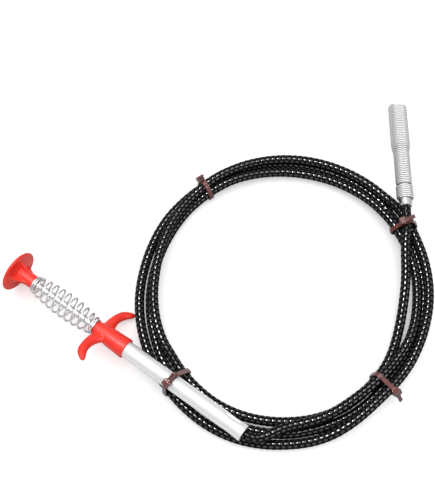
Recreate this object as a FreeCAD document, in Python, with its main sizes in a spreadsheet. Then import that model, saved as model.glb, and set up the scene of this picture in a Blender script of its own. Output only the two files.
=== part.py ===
import FreeCAD, Part
import Sketcher
import math
import os

# Drain auger with a four finger claw.  One shared frame, millimetres, +Z up,
# Z = 0 is the floor the coiled tool lies on, the origin is the middle of the
# lying tool's overall box on that floor.  The handle points away to -X, the
# claw head to +Y.

doc = FreeCAD.newDocument("drain_auger")
V = FreeCAD.Vector

# ---------------------------------------------------------------- dimensions
sheet = doc.addObject("Spreadsheet::Sheet", "Dims")
VALUES = [
    # thumb button
    ("button_dia", 29.3), ("button_face_x", -1.7), ("button_rim_x", 0.7),
    ("button_edge", 0.5), ("stem_root_x", 2.4), ("stem_root_rad", 5.6),
    ("stem_neck_x", 4.6), ("stem_dia", 9.2), ("stem_end_x", 15.1),
    ("stem_bore_x", 5.0), ("rib_reach", 9.6), ("rib_end_x", 10.5),
    ("rib_thick", 1.7),
    # plunger rod and collars
    ("rod_dia", 4.6), ("rod_bore", 2.3), ("rod_bore_x", 40.0),
    ("rod_end_x", 108.0), ("collar_x", 99.0), ("collar_len", 5.0),
    ("collar_dia", 9.2), ("seat_thick", 1.0), ("rear_seat_dia", 11.4),
    ("front_seat_dia", 11.0), ("seat_bore", 4.8),
    # return spring
    ("spring_wire", 1.25), ("spring_end_dia", 12.0), ("spring_mid_dia", 17.6),
    ("spring_rear_x", 16.1), ("spring_front_x", 66.4), ("spring_turns", 8.8),
    # finger grip
    ("grip_rear_x", 67.4), ("grip_front_x", 93.2), ("grip_rear_dia", 9.8),
    ("grip_mid_x", 80.0), ("grip_mid_dia", 12.6), ("grip_front_dia", 13.8),
    ("grip_lip", 0.6), ("tube_socket_x", 81.0), ("arm_centre_x", 80.3),
    # handle tube
    ("tube_dia", 11.0), ("tube_bore", 9.5), ("tube_end_x", 186.30),
    ("swage_x", 164.0), ("swage_bore", 7.0), ("swage_end_x", 176.0),
    ("dent_x", 176.0), ("dent_len", 6.0), ("dent_depth", 0.62),
    # hose
    ("hose_dia", 6.6), ("hose_bore", 4.8), ("core_dia", 4.7),
    ("core_bore", 2.6), ("cable_dia", 1.8), ("cable_start_x", 74.0),
    # claw head
    ("ferrule_dia", 8.9), ("ferrule_len", 5.2), ("ferrule_bore", 6.7),
    ("ferrule_neck_dia", 8.1), ("ferrule_neck_end", 22.0),
    ("base_start", 5.3), ("base_end", 16.9), ("base_dia", 11.8),
    ("base_bore", 9.3), ("neck_end", 44.0), ("neck_dia", 11.4),
    ("neck_bore", 8.9), ("wide_start", 50.0), ("wide_dia", 13.4),
    ("wide_bore", 10.9), ("head_end", 84.4), ("head_pitch", 1.5),
    ("scallop", 0.36),
    # claw
    ("crimp_start", 41.3), ("crimp_len", 8.0), ("crimp_dia", 7.2),
    ("cable_end_start", 9.5), ("cable_end_stop", 45.3),
    ("root_disc", 0.6), ("root_end", 57.1), ("pivot_x", 57.3),
    ("strip_rad", 1.7), ("strip_wide", 2.0), ("strip_thick", 0.6),
    ("finger_len", 26.0), ("finger_step", 1.0), ("hook_drop", 2.7),
    # cable ties
    ("tie_wide", 3.2), ("tie_thick", 1.1), ("tie_gap", 0.15),
    ("tie_head_wide", 4.8), ("tie_head_long", 4.4), ("tie_head_high", 4.2),
    ("tie_tail_wide", 2.6), ("tie_tail_thick", 1.0), ("tie_tail_long", 6.5),
]


class Dim(object):
    """A sheet dimension that carries its expression and its plain value."""

    def __init__(self, text, value):
        self.text = text
        self.value = float(value)

    def _join(self, other, sign, flip=False):
        if isinstance(other, Dim):
            text, value = other.text, other.value
        else:
            text, value = "%.10g" % other, float(other)
        a, b = (self.text, text), (self.value, value)
        if flip:
            a, b = (a[1], a[0]), (b[1], b[0])
        out = {"+": b[0] + b[1], "-": b[0] - b[1], "*": b[0] * b[1],
               "/": b[0] / b[1] if b[1] else 0.0}[sign]
        return Dim("(%s %s %s)" % (a[0], sign, a[1]), out)

    def __add__(self, other):
        return self._join(other, "+")

    def __radd__(self, other):
        return self._join(other, "+", True)

    def __sub__(self, other):
        return self._join(other, "-")

    def __rsub__(self, other):
        return self._join(other, "-", True)

    def __mul__(self, other):
        return self._join(other, "*")

    def __rmul__(self, other):
        return self._join(other, "*", True)

    def __truediv__(self, other):
        return self._join(other, "/")

    def __neg__(self):
        return self._join(-1.0, "*")


class Dims(object):
    pass


D = Dims()
sheet.set("A1", "dimension")
sheet.set("B1", "mm")
for row, (alias, value) in enumerate(VALUES, start=2):
    sheet.set("A%d" % row, alias)
    sheet.set("B%d" % row, "%.10g" % value)
    sheet.setAlias("B%d" % row, alias)
    setattr(D, alias, Dim("Dims." + alias, value))
doc.recompute()


def val(x):
    return x.value if isinstance(x, Dim) else float(x)


# -------------------------------------------------------------------- frames
def frame(origin, x_dir, z_hint):
    """Right-handed placement with local X along x_dir and local Z near z_hint."""
    x = V(x_dir).normalize()
    z = V(z_hint) - x * V(z_hint).dot(x)
    z.normalize()
    y = z.cross(x)
    return FreeCAD.Placement(FreeCAD.Matrix(
        x.x, y.x, z.x, origin.x,
        x.y, y.y, z.y, origin.y,
        x.z, y.z, z.z, origin.z,
        0, 0, 0, 1))


# Handle: origin in the middle of the thumb button, local X toward the tube
# end.  The handle is rolled so that one arm of the grip all but reaches the floor.
HANDLE_O = V(-135.165, -7.791, 14.750)
HANDLE_X = V(0.807553, -0.589712, 0.009930)
GRIP_ROLL = 30.0
side = V(-HANDLE_X.y, HANDLE_X.x, 0).normalize()
up = HANDLE_X.cross(side).normalize()
if up.z < 0:
    up = up * -1
roll = math.radians(GRIP_ROLL)
HANDLE = frame(HANDLE_O, HANDLE_X, up * math.cos(roll) + side * math.sin(roll))

# Head: origin at the hose end, local X toward the open mouth of the spring.
HEAD_O = V(130.077, 40.803, 15.200)
HEAD_X = V(0.016927, 0.998627, -0.049572)
HEAD = frame(HEAD_O, HEAD_X, V(0, 0, 1))


# ------------------------------------------------------------------- helpers
def make_body(name, placement):
    body = doc.addObject("PartDesign::Body", name)
    body.Label = name
    body.Placement = placement
    return body


def plane_of(body, role):
    for obj in body.Origin.OriginFeatures:
        if obj.Role == role:
            return obj
    raise RuntimeError("no origin plane " + role)


def new_sketch(body, name, role="XY_Plane"):
    sk = body.newObject("Sketcher::SketchObject", name)
    sk.AttachmentSupport = [(plane_of(body, role), "")]
    sk.MapMode = "FlatFace"
    return sk


def bind(obj, prop, x):
    if isinstance(x, Dim):
        obj.setExpression(prop, x.text)


def polygon(sk, verts):
    """Closed outline, each corner held by its two sheet-driven coordinates."""
    pts = [V(val(x), val(y), 0) for x, y in verts]
    n = len(pts)
    ids = [sk.addGeometry(Part.LineSegment(pts[i], pts[(i + 1) % n]), False)
           for i in range(n)]
    for i in range(n):
        sk.addConstraint(Sketcher.Constraint(
            "Coincident", ids[i], 2, ids[(i + 1) % n], 1))
    for i, (x, y) in enumerate(verts):
        for kind, axis, q in (("DistanceX", -2, x), ("DistanceY", -1, y)):
            if abs(val(q)) < 1e-9:
                sk.addConstraint(Sketcher.Constraint(
                    "PointOnObject", ids[i], 1, axis))
            else:
                c = sk.addConstraint(Sketcher.Constraint(
                    kind, -1, 1, ids[i], 1, val(q)))
                if isinstance(q, Dim):
                    sk.setExpression("Constraints[%d]" % c, q.text)
    return ids


def revolve(body, sk, name, axis="H_Axis"):
    rev = body.newObject("PartDesign::Revolution", name)
    rev.Profile = sk
    rev.ReferenceAxis = (sk, [axis])
    rev.Angle = 360.0
    body.Tip = rev
    sk.Visibility = False
    return rev


def pad_both(body, sk, name, length):
    pad = body.newObject("PartDesign::Pad", name)
    pad.Profile = sk
    pad.Length = val(length)
    bind(pad, "Length", length)
    if hasattr(pad, "SideType"):
        pad.SideType = "Symmetric"
    else:
        pad.Midplane = True
    body.Tip = pad
    sk.Visibility = False
    return pad


def ring_body(name, placement, verts):
    """Turned part: one closed half-profile (x along the axis, y = radius)."""
    body = make_body(name, placement)
    sk = new_sketch(body, name + "_profile")
    polygon(sk, verts)
    revolve(body, sk, name + "_turned")
    return body


def add_line(sk, a, b):
    sk.addGeometry(Part.LineSegment(V(a[0], a[1], 0), V(b[0], b[1], 0)), False)


def add_bulge(sk, a, b, rise):
    """Arc from a to b bulging to the left of the chord by rise."""
    ax, ay = a
    bx, by = b
    dx, dy = bx - ax, by - ay
    chord = math.hypot(dx, dy)
    rad = (chord * chord / 4.0 + rise * rise) / (2.0 * rise)
    nx, ny = -dy / chord, dx / chord
    cx = (ax + bx) / 2.0 - nx * (rad - rise)
    cy = (ay + by) / 2.0 - ny * (rad - rise)
    a0 = math.atan2(by - cy, bx - cx)
    a1 = math.atan2(ay - cy, ax - cx)
    while a1 < a0:
        a1 += 2.0 * math.pi
    circle = Part.Circle(V(cx, cy, 0), V(0, 0, 1), rad)
    sk.addGeometry(Part.ArcOfCircle(circle, a0, a1), False)


def coil_tube(name, placement, spans, inner):
    """Close-wound spring as a turned tube whose outside shows every coil.

    spans: (x0, x1, outer radius at x0, outer radius at x1)
    inner: the inside outline from the far end back to the start.
    """
    body = make_body(name, placement)
    sk = new_sketch(body, name + "_profile")
    rise = val(D.scallop)
    path = []
    for x0, x1, r0, r1 in spans:
        count = max(1, int(round((x1 - x0) / val(D.head_pitch))))
        for i in range(count):
            xa = x0 + (x1 - x0) * i / count
            xb = x0 + (x1 - x0) * (i + 1) / count
            ra = r0 + (r1 - r0) * i / count - rise
            rb = r0 + (r1 - r0) * (i + 1) / count - rise
            if not path:
                path.append((xa, ra))
            path.append((xb, rb))
    for a, b in zip(path, path[1:]):
        add_bulge(sk, a, b, rise)
    loop = [path[-1]] + inner + [path[0]]
    for a, b in zip(loop, loop[1:]):
        add_line(sk, a, b)
    revolve(body, sk, name + "_turned")
    return body


def spline_spine(points, spans):
    """Smooth curve through the points, cut into edges of a few spans each."""
    curve = Part.BSplineCurve()
    curve.interpolate(points)
    knots = curve.getKnots()
    last = len(knots) - 1
    count = max(1, int(round(last / float(spans))))
    marks = [int(round(i * last / float(count))) for i in range(count + 1)]
    edges = []
    for a, b in zip(marks, marks[1:]):
        piece = curve.copy()
        piece.segment(knots[a], knots[b])
        edges.append(piece.toShape())
    return Part.Wire(edges), curve.tangent(curve.FirstParameter)[0]


def swept_solid(points, radius, frenet, spans):
    """Round bar along the curve; the edge count is varied until it is sound."""
    wanted = math.pi * radius * radius
    for count in (spans, spans - 2, spans + 3, spans - 4, spans + 8):
        spine, first = spline_spine(points, count)
        ring = Part.Wire([Part.makeCircle(radius, points[0], first)])
        try:
            solid = spine.makePipeShell([ring], True, frenet)
        except Exception:
            continue
        if solid.isValid() and abs(solid.Volume / (wanted * spine.Length) - 1) < 0.01:
            return solid
    raise RuntimeError("no sound sweep")


def swept_wire(name, points, outer, inner=None, frenet=False, spans=12):
    """Round hose or wire swept along a smooth curve; radii from the sheet."""
    shape = swept_solid(points, val(outer) / 2.0, frenet, spans)
    if inner is not None:
        core = swept_solid(points, val(inner) / 2.0, frenet, spans)
        walls, caps = [], [[], []]
        for solid in (shape, core):
            for face in solid.Faces:
                if isinstance(face.Surface, Part.Plane):
                    near = (face.CenterOfMass - points[0]).Length < 1.0
                    caps[0 if near else 1].append(face.OuterWire)
                else:
                    walls.append(face)
        for big, small in caps:
            disc = Part.Face(big)
            walls.append(disc.cut(Part.Face(small)).Faces[0])
        shell = Part.makeShell(walls)
        shell.sewShape()
        shape = Part.makeSolid(shell)
        if shape.Volume < 0:
            shape.reverse()
    obj = doc.addObject("Part::Feature", name)
    obj.Shape = shape
    obj.Placement = FreeCAD.Placement()
    obj.Label = name
    return obj


NODES = []

# -------------------------------------------------------------- thumb button
button = ring_body("button_cap", HANDLE, [
    (D.button_face_x, 0),
    (D.button_face_x, D.button_dia / 2 - D.button_edge * 3),
    (D.button_face_x + D.button_edge, D.button_dia / 2 - D.button_edge),
    (D.button_face_x + D.button_edge * 2.4, D.button_dia / 2),
    (D.button_rim_x - D.button_edge, D.button_dia / 2),
    (D.button_rim_x, D.button_dia / 2 - D.button_edge),
    (D.button_rim_x, D.button_dia / 2 - D.button_edge * 4),
    (D.button_rim_x + 0.5, D.stem_root_rad + 2.6),
    (D.stem_root_x, D.stem_root_rad),
    (D.stem_neck_x, D.stem_dia / 2 + 0.15),
    (D.stem_end_x - 0.4, D.stem_dia / 2),
    (D.stem_end_x, D.stem_dia / 2 - 0.4),
    (D.stem_end_x, D.rod_dia / 2 + 0.02),
    (D.stem_bore_x, D.rod_dia / 2 + 0.02),
    (D.stem_bore_x, 0),
])
# four gussets between the disc and the stem
rib_sk = new_sketch(button, "button_rib_profile")
polygon(rib_sk, [
    (D.button_rim_x - 0.4, D.stem_dia / 2 - 1.4),
    (D.button_rim_x - 0.4, D.rib_reach),
    (D.button_rim_x + 1.0, D.rib_reach - 0.6),
    (D.rib_end_x, D.stem_dia / 2 - 0.1),
    (D.rib_end_x, D.stem_dia / 2 - 1.4),
])
rib = pad_both(button, rib_sk, "button_rib", D.rib_thick)
doc.recompute()
ribs = button.newObject("PartDesign::PolarPattern", "button_ribs")
ribs.Originals = [rib]
ribs.Axis = (rib_sk, ["H_Axis"])
ribs.Angle = 360.0
ribs.Occurrences = 4
button.Tip = ribs
NODES.append(button)

# --------------------------------------------------- plunger rod and collars
NODES.append(ring_body("plunger_rod", HANDLE, [
    (D.stem_bore_x + 0.05, 0),
    (D.stem_bore_x + 0.05, D.rod_dia / 2),
    (D.rod_end_x - 0.5, D.rod_dia / 2),
    (D.rod_end_x, D.rod_dia / 2 - 0.5),
    (D.rod_end_x, D.rod_bore / 2),
    (D.rod_bore_x, D.rod_bore / 2),
    (D.rod_bore_x, 0),
]))
NODES.append(ring_body("spring_seat_rear", HANDLE, [
    (D.stem_end_x + 0.02, D.rod_dia / 2 + 0.02),
    (D.stem_end_x + 0.02, D.rear_seat_dia / 2 - 0.2),
    (D.stem_end_x + 0.22, D.rear_seat_dia / 2),
    (D.spring_rear_x - 0.22, D.rear_seat_dia / 2),
    (D.spring_rear_x - 0.02, D.rear_seat_dia / 2 - 0.2),
    (D.spring_rear_x - 0.02, D.rod_dia / 2 + 0.02),
]))
NODES.append(ring_body("rod_stop_collar", HANDLE, [
    (D.collar_x, D.rod_dia / 2 + 0.02),
    (D.collar_x, D.collar_dia / 2 - 0.4),
    (D.collar_x + 0.4, D.collar_dia / 2),
    (D.collar_x + D.collar_len - 0.4, D.collar_dia / 2),
    (D.collar_x + D.collar_len, D.collar_dia / 2 - 0.4),
    (D.collar_x + D.collar_len, D.rod_dia / 2 + 0.02),
]))
NODES.append(ring_body("spring_seat_front", HANDLE, [
    (D.spring_front_x + 0.02, D.seat_bore / 2),
    (D.spring_front_x + 0.02, D.front_seat_dia / 2 - 0.2),
    (D.spring_front_x + 0.22, D.front_seat_dia / 2),
    (D.grip_rear_x - 0.22, D.front_seat_dia / 2),
    (D.grip_rear_x - 0.02, D.front_seat_dia / 2 - 0.2),
    (D.grip_rear_x - 0.02, D.seat_bore / 2),
]))

# ------------------------------------------------------------- return spring
# Barrel-shaped open coil: one closed turn at each end, wide in the middle.
wire = val(D.spring_wire)
x0 = val(D.spring_rear_x) + wire / 2.0 + 0.02
x1 = val(D.spring_front_x) - wire / 2.0 - 0.02
r_end = (val(D.spring_end_dia) - wire) / 2.0
r_mid = (val(D.spring_mid_dia) - wire) / 2.0
active = val(D.spring_turns)
turns = active + 2.0
closed = wire * 1.04
spring_pts = []
steps = int(turns * 20)
for i in range(steps + 1):
    k = turns * i / steps
    if k < 1.0:
        x = x0 + closed * k
    elif k > turns - 1.0:
        x = x1 - closed * (turns - k)
    else:
        u = (k - 1.0) / active
        x = (x0 + closed) + (x1 - x0 - 2.0 * closed) * u
    w = (x - x0) / (x1 - x0)
    r = r_end + (r_mid - r_end) * math.sin(math.pi * min(1.0, max(0.0, w))) ** 0.7
    a = 2.0 * math.pi * k
    spring_pts.append(HANDLE.multVec(V(x, r * math.cos(a), r * math.sin(a))))
NODES.append(swept_wire("return_spring", spring_pts, D.spring_wire, None, True))

# --------------------------------------------------------------- finger grip
grip = ring_body("finger_grip", HANDLE, [
    (D.grip_rear_x, D.seat_bore / 2),
    (D.grip_rear_x, D.grip_rear_dia / 2 - 0.4),
    (D.grip_rear_x + 0.4, D.grip_rear_dia / 2),
    (D.grip_mid_x, D.grip_mid_dia / 2),
    (D.grip_front_x - 0.5, D.grip_front_dia / 2),
    (D.grip_front_x, D.grip_front_dia / 2 - 0.4),
    (D.grip_front_x, D.tube_dia / 2 + 0.03),
    (D.tube_socket_x, D.tube_dia / 2 + 0.03),
    (D.tube_socket_x, D.seat_bore / 2),
])
# Each arm sweeps out sideways and hooks forward toward the tube.
ARM = [  # distance from the axis, x from the arm centre, half length, half height
    (2.6, -4.6, 7.4, 3.4),
    (6.0, -6.4, 5.0, 3.1),
    (10.0, -7.5, 3.8, 3.0),
    (14.5, -7.9, 3.3, 2.9),
    (19.0, -7.4, 3.2, 2.8),
    (23.0, -6.0, 3.5, 2.5),
    (26.2, -3.9, 3.1, 2.0),
    (28.4, -2.2, 1.4, 1.1),
]
for sign, tag in ((1.0, "left"), (-1.0, "right")):
    sections = []
    for i, (y, xc, a, b) in enumerate(ARM):
        sk = new_sketch(grip, "arm_%s_section_%d" % (tag, i + 1), "XZ_Plane")
        sk.AttachmentOffset = FreeCAD.Placement(
            V(0, 0, -sign * y), FreeCAD.Rotation())
        big = max(a, b)
        small = min(a, b)
        x_c = val(D.arm_centre_x) + xc
        major = V(x_c + a, 0, 0) if a >= b else V(x_c, b, 0)
        minor = V(x_c, b, 0) if a >= b else V(x_c - a, 0, 0)
        sk.addGeometry(Part.Ellipse(major, minor, V(x_c, 0, 0)), False)
        sk.Visibility = False
        sections.append(sk)
    doc.recompute()
    loft = grip.newObject("PartDesign::AdditiveLoft", "arm_" + tag)
    loft.Profile = sections[0]
    loft.Sections = sections[1:]
    loft.Ruled = False
    grip.Tip = loft
    doc.recompute()
# the arms must not fill the rod hole: open it again
bore_sk = new_sketch(grip, "grip_bore_profile")
polygon(bore_sk, [
    (D.grip_rear_x - 1.0, 0),
    (D.grip_rear_x - 1.0, D.seat_bore / 2),
    (D.tube_socket_x, D.seat_bore / 2),
    (D.tube_socket_x, D.tube_dia / 2 + 0.03),
    (D.grip_front_x + 1.0, D.tube_dia / 2 + 0.03),
    (D.grip_front_x + 1.0, 0),
])
bore = grip.newObject("PartDesign::Groove", "grip_bore")
bore.Profile = bore_sk
bore.ReferenceAxis = (bore_sk, ["H_Axis"])
bore.Angle = 360.0
grip.Tip = bore
bore_sk.Visibility = False
NODES.append(grip)

# --------------------------------------------------------------- handle tube
# Bore necks down near the far end where the tube is pinched onto the hose,
# then flares so the hose can bend away.
tube = ring_body("handle_tube", HANDLE, [
    (D.tube_socket_x + 0.05, D.tube_bore / 2),
    (D.tube_socket_x + 0.05, D.tube_dia / 2),
    (D.swage_x + 6.0, D.tube_dia / 2),
    (D.swage_x + 12.0, D.tube_dia / 2 - 0.25),
    (D.swage_x + 17.0, D.tube_dia / 2 - 0.1),
    (D.tube_end_x - 0.6, D.tube_dia / 2 + 0.25),
    (D.tube_end_x, D.tube_dia / 2 + 0.15),
    (D.tube_end_x, D.tube_dia / 2 - 0.25),
    (D.swage_end_x, D.swage_bore / 2),
    (D.swage_x + 3.0, D.swage_bore / 2),
    (D.swage_x - 1.0, D.tube_bore / 2),
])
doc.recompute()
dent = tube.newObject("PartDesign::SubtractiveEllipsoid", "pinch_dent")
dent.Angle1 = -90.0
dent.Angle2 = 90.0
dent.Angle3 = 360.0
bind(dent, "Radius2", D.dent_len)
bind(dent, "Radius3", D.dent_len * 0.36)
bind(dent, "Radius1", D.dent_depth * 2)
dent.Placement = FreeCAD.Placement(V(val(D.dent_x), 0, val(D.tube_dia) / 2.0 + 0.35),
                                   FreeCAD.Rotation())
tube.Tip = dent
NODES.append(tube)

# --------------------------------------------------------------------- hose
# Centre line of the coiled hose from inside the handle tube to the claw head.
STATIONS = [
    (-2.48, -104.68, 16.38), (3.58, -109.11, 16.45), (9.65, -113.54, 16.54), (15.78, -117.56, 14.93), (22.89, -119.52, 12.42),
    (30.23, -117.85, 11.55), (37.00, -114.68, 11.21), (43.94, -112.10, 10.60), (51.24, -110.35, 10.49), (58.58, -108.71, 10.80),
    (65.63, -106.43, 11.01), (72.30, -103.37, 11.18), (78.68, -99.70, 11.25), (84.85, -95.62, 11.26), (90.88, -91.24, 11.24),
    (96.78, -86.58, 11.19), (102.57, -81.66, 11.07), (108.26, -76.48, 10.74), (113.59, -70.82, 10.10), (118.33, -64.88, 9.99),
    (122.59, -58.85, 10.09), (126.13, -52.41, 10.04), (128.92, -45.53, 9.78), (131.02, -38.18, 9.45), (132.50, -30.59, 9.08),
    (133.46, -22.95, 8.75), (133.86, -15.39, 8.63), (133.66, -7.94, 8.65), (132.84, -0.47, 8.66), (131.34, 7.02, 8.58),
    (129.13, 14.41, 8.31), (126.14, 21.38, 8.51), (122.74, 28.05, 9.31), (118.75, 34.53, 9.36), (114.21, 40.86, 8.80),
    (109.31, 46.86, 7.88), (103.62, 52.00, 7.59), (97.46, 56.58, 7.41), (90.92, 60.67, 7.13), (84.02, 64.22, 6.83),
    (76.81, 67.16, 6.59), (69.34, 69.48, 6.45), (61.69, 71.21, 6.34), (53.92, 72.31, 6.30), (46.09, 72.71, 6.43),
    (38.26, 72.44, 6.69), (30.52, 71.53, 7.01), (22.97, 69.96, 7.38), (15.58, 67.78, 7.68), (8.48, 65.02, 7.72),
    (1.77, 61.66, 7.23), (-4.59, 57.97, 6.28), (-10.59, 53.79, 5.21), (-16.23, 49.01, 4.57), (-21.52, 43.47, 4.55),
    (-26.30, 37.31, 4.55), (-30.57, 30.82, 4.55), (-34.36, 24.07, 4.55), (-37.67, 17.09, 4.55), (-40.48, 9.92, 4.55),
    (-42.77, 2.59, 4.55), (-44.52, -4.86, 4.55), (-45.72, -12.39, 4.55), (-46.35, -19.96, 4.55), (-46.41, -27.53, 4.55),
    (-45.90, -35.06, 4.55), (-44.79, -42.50, 4.55), (-43.10, -49.82, 4.55), (-40.93, -57.01, 4.55), (-38.32, -64.07, 4.55),
    (-34.85, -70.85, 4.55), (-30.58, -77.29, 4.55), (-25.81, -83.38, 4.55), (-20.69, -89.04, 4.55), (-15.11, -94.23, 4.55),
    (-9.12, -98.96, 4.55), (-2.76, -103.20, 4.55), (3.92, -106.91, 4.55), (10.91, -110.00, 4.55), (18.21, -112.40, 4.55),
    (25.74, -114.09, 4.55), (33.43, -115.09, 4.55), (41.21, -115.39, 4.55), (48.99, -114.89, 4.55), (56.68, -113.66, 4.55),
    (64.22, -111.83, 4.55), (71.46, -109.56, 4.55), (78.52, -106.65, 4.55), (85.31, -103.10, 4.55), (91.57, -98.94, 4.55),
    (97.34, -94.23, 4.55), (102.75, -89.06, 4.55), (107.94, -83.46, 4.55), (112.88, -77.69, 4.55), (117.74, -71.93, 4.55),
    (122.31, -65.94, 4.55), (126.42, -59.61, 4.55), (130.03, -52.95, 4.55), (133.14, -46.02, 4.55), (135.59, -38.95, 4.55),
    (137.37, -31.71, 4.55), (138.56, -24.29, 4.55), (139.09, -16.65, 4.55), (138.94, -8.88, 4.55), (138.21, -1.11, 4.55),
    (136.89, 6.58, 4.55), (135.04, 14.16, 4.55), (132.36, 21.27, 4.55), (128.45, 27.86, 4.55), (124.37, 34.49, 4.55),
    (120.21, 40.95, 4.55), (116.11, 47.60, 4.55), (110.97, 53.47, 4.55), (105.14, 58.49, 4.55), (98.93, 62.99, 4.55),
    (92.29, 67.03, 4.55), (85.31, 70.52, 4.55), (78.10, 73.46, 4.55), (70.71, 75.81, 4.55), (63.18, 77.54, 4.55),
    (55.62, 78.62, 4.55), (48.10, 79.13, 4.55), (40.57, 79.02, 4.55), (33.05, 78.23, 4.55), (25.58, 76.82, 4.55),
    (18.22, 74.93, 4.55), (11.03, 72.48, 4.55), (4.00, 69.55, 4.55), (-2.88, 66.26, 4.55), (-9.56, 62.57, 4.55),
    (-15.84, 58.15, 4.55), (-21.64, 53.05, 4.55), (-26.91, 47.64, 4.55), (-31.84, 41.98, 4.55), (-36.25, 35.89, 4.55),
    (-40.11, 29.41, 4.55), (-43.46, 22.60, 4.55), (-46.32, 15.54, 4.55), (-48.71, 8.30, 4.55), (-50.66, 0.93, 4.55),
    (-52.17, -6.49, 4.55), (-53.21, -13.95, 4.55), (-53.73, -21.44, 4.55), (-53.67, -28.95, 4.55), (-53.01, -36.45, 4.55),
    (-51.78, -43.91, 4.55), (-49.97, -51.28, 4.55), (-47.64, -58.53, 4.55), (-44.88, -65.64, 4.55), (-41.57, -72.59, 4.55),
    (-37.59, -79.10, 4.55), (-33.22, -85.36, 4.55), (-28.47, -91.32, 4.55), (-23.29, -96.89, 4.55), (-17.70, -102.02, 4.55),
    (-11.74, -106.67, 4.55), (-5.43, -110.79, 4.55), (1.22, -114.34, 4.55), (8.16, -117.26, 4.55), (15.33, -119.51, 4.55),
    (22.69, -121.06, 4.55), (30.18, -121.95, 4.55), (37.76, -122.22, 4.55), (45.36, -121.93, 4.55), (52.94, -121.16, 4.55),
    (60.38, -119.76, 4.68), (67.55, -117.71, 5.72), (74.47, -114.91, 7.36), (80.95, -111.37, 8.72), (87.10, -107.23, 9.57),
    (92.98, -102.63, 10.02), (98.71, -97.68, 10.19), (104.37, -92.53, 10.13), (109.92, -87.28, 9.86), (115.21, -81.83, 9.55),
    (120.06, -76.15, 9.53), (124.36, -70.16, 9.87), (128.11, -63.82, 10.22), (131.43, -57.17, 10.48), (134.34, -50.29, 10.63),
    (136.80, -43.20, 10.73), (138.81, -35.90, 10.76), (140.27, -28.44, 10.79), (141.08, -20.97, 10.85), (141.29, -13.48, 10.90),
    (140.93, -5.99, 10.93), (140.03, 1.47, 10.92), (138.58, 8.84, 10.90), (136.55, 16.10, 10.88), (134.39, 23.73, 10.49),
    (132.33, 31.84, 8.38), (128.88, 39.09, 6.87), (124.03, 44.52, 8.86), (118.27, 48.93, 10.80), (112.84, 54.00, 11.01),
    (107.24, 59.12, 10.93), (101.18, 63.77, 10.91), (94.83, 67.82, 10.96), (88.21, 71.35, 10.99), (81.34, 74.37, 10.99),
    (74.24, 76.84, 10.98), (66.97, 78.74, 10.95), (59.55, 80.03, 10.92), (51.97, 80.69, 10.95), (44.37, 80.68, 11.01),
    (36.85, 80.05, 11.07), (29.44, 78.80, 11.13), (22.15, 76.93, 11.19), (15.03, 74.44, 11.24), (8.15, 71.38, 11.27),
    (1.53, 67.87, 11.26), (-4.71, 63.77, 11.15), (-10.54, 59.08, 10.86), (-15.92, 53.99, 10.51), (-21.03, 48.48, 10.46),
    (-25.56, 42.35, 10.80), (-29.56, 35.89, 11.01), (-33.08, 29.20, 11.16), (-36.08, 22.28, 11.25), (-38.54, 15.18, 11.28),
    (-40.49, 7.94, 11.23), (-42.00, 0.60, 11.13), (-43.11, -6.80, 11.01), (-43.81, -14.26, 10.90), (-44.02, -21.77, 10.81),
    (-43.64, -29.31, 10.70), (-42.60, -36.84, 10.55), (-40.89, -44.30, 10.34), (-38.49, -51.56, 9.99), (-35.23, -58.32, 9.08),
    (-31.26, -64.32, 6.82), (-27.35, -70.25, 4.72), (-22.99, -76.28, 4.55), (-18.11, -82.03, 4.55), (-12.71, -87.35, 4.55),
    (-6.92, -92.19, 4.55), (-0.74, -96.47, 4.55), (5.87, -100.05, 4.55), (12.82, -102.94, 4.55), (20.01, -105.15, 4.55),
    (27.37, -106.67, 4.55), (34.85, -107.54, 4.55), (42.42, -107.78, 4.55), (50.02, -107.38, 4.55), (57.58, -106.37, 4.55),
    (64.99, -104.59, 4.55), (72.18, -102.14, 4.55), (78.96, -99.01, 4.55), (85.35, -95.11, 4.55), (91.35, -90.51, 4.55),
    (96.96, -85.41, 4.55), (102.16, -79.97, 4.55), (106.99, -74.13, 4.55), (111.18, -67.78, 4.55), (114.65, -60.85, 4.55),
    (117.47, -53.46, 4.58), (119.79, -45.99, 5.16), (121.64, -38.66, 6.54), (123.15, -31.38, 8.24), (124.43, -24.06, 9.88),
    (125.51, -16.64, 11.31), (126.30, -9.16, 12.47), (126.75, -1.69, 13.46), (126.98, 5.62, 14.59), (127.39, 12.73, 15.93),
    (128.34, 19.87, 16.62), (129.23, 26.84, 16.08), (129.86, 33.85, 15.53), (130.08, 41.29, 15.19), (130.21, 48.79, 14.80),
]
hose_line = [V(*p) for p in STATIONS]
NODES.append(swept_wire("hose_jacket", hose_line, D.hose_dia, D.hose_bore))
NODES.append(swept_wire("hose_core_spring", hose_line, D.core_dia, D.core_bore))
# The pull cable: a straight tail inside the hollow rod, then the hose length.
NODES.append(swept_wire("inner_cable", hose_line, D.cable_dia))
first_x = (hose_line[0] - HANDLE_O).dot(HANDLE_X)
NODES.append(ring_body("cable_tail", HANDLE, [
    (D.cable_start_x, 0),
    (D.cable_start_x, D.cable_dia / 2),
    (first_x - 0.15, D.cable_dia / 2),
    (first_x - 0.15, 0),
]))

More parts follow.
